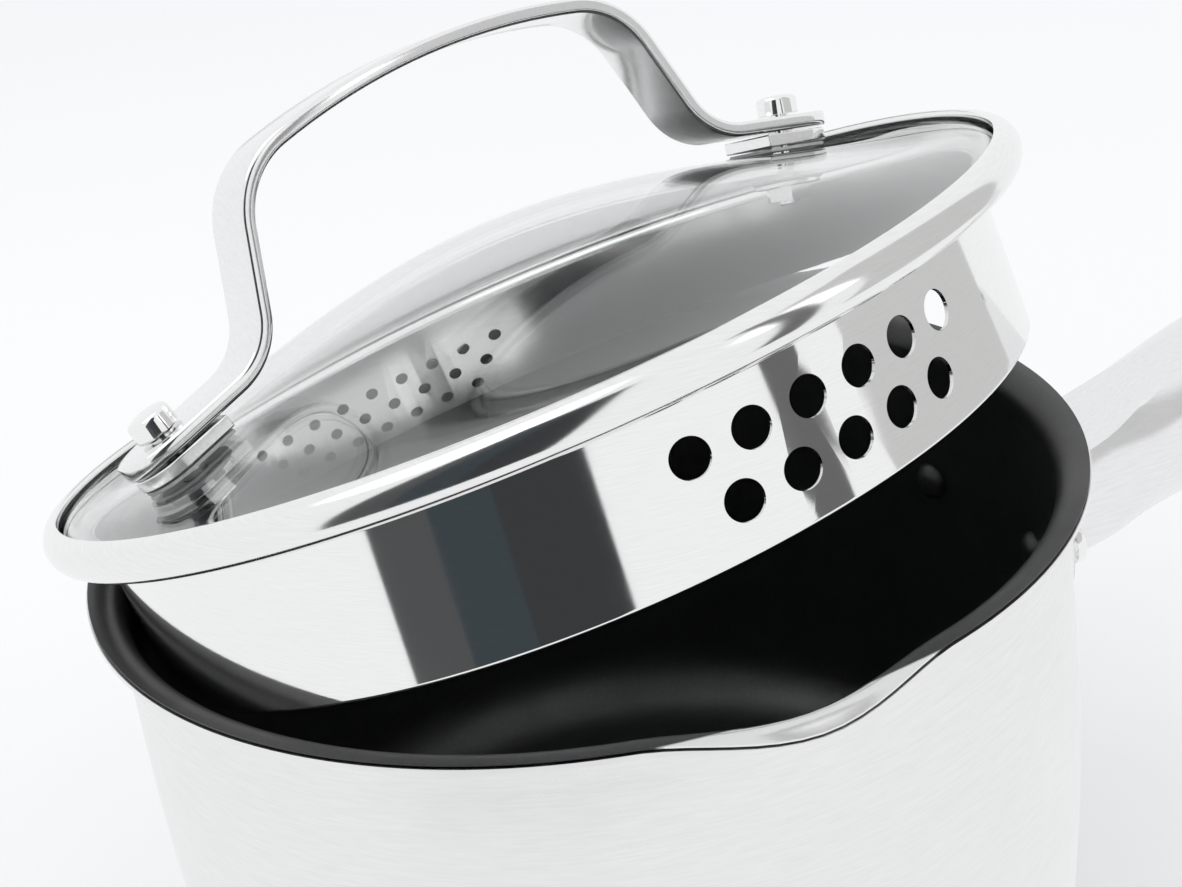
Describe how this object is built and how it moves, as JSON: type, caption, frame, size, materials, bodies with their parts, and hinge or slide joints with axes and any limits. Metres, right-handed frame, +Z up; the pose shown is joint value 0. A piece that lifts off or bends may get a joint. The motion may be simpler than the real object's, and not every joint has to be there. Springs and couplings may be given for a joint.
{
  "type": "saucepan",
  "caption": "Round saucepan with twin pouring spouts, a long cast handle, and a tipped domed glass lid with a strap handle and a perforated straining band.",
  "frame": {"origin": "centre of the flat underside of the pan's base", "axes": "+Z up out of the pan, +X towards the long handle, pouring spouts on -Y and +Y"},
  "size_m": [0.3512, 0.1777, 0.1781],
  "materials": {
    "stainless_steel": "satin pan and handle, polished lid band, ring and strap",
    "nonstick_coating": "near-black matte non-stick coating",
    "aluminium_core": "plain aluminium disc, hidden in the base",
    "clear_glass": "clear tempered glass",
    "grey_silicone": "silicone seals and gaskets"
  },
  "bodies": {
    "pan": {"pan_shell": "stainless_steel", "nonstick_lining": "nonstick_coating", "base_core": "aluminium_core", "base_cap": "stainless_steel", "long_handle": "stainless_steel", "handle_rivet_near": "stainless_steel", "handle_rivet_far": "stainless_steel"},
    "lid": {"lid_glass": "clear_glass", "lid_ring": "stainless_steel", "ring_sealant": "grey_silicone", "strainer_band": "stainless_steel", "strap_handle": "stainless_steel", "foot_gasket_left": "grey_silicone", "foot_spacer_left": "stainless_steel", "handle_bolt_left": "stainless_steel", "inner_gasket_left": "grey_silicone", "handle_washer_left": "stainless_steel", "handle_nut_left": "stainless_steel", "foot_gasket_right": "grey_silicone", "foot_spacer_right": "stainless_steel", "handle_bolt_right": "stainless_steel", "inner_gasket_right": "grey_silicone", "handle_washer_right": "stainless_steel", "handle_nut_right": "stainless_steel"}
  },
  "joints": [
    {"name": "lid_tilt", "type": "hinge", "parent": "pan", "child": "lid", "pos_m": [-0.05079, 0.06741, 0.094], "axis": [-0.7986, -0.6018, 0], "range_deg": [-17.3, 57.7]}
  ]
}
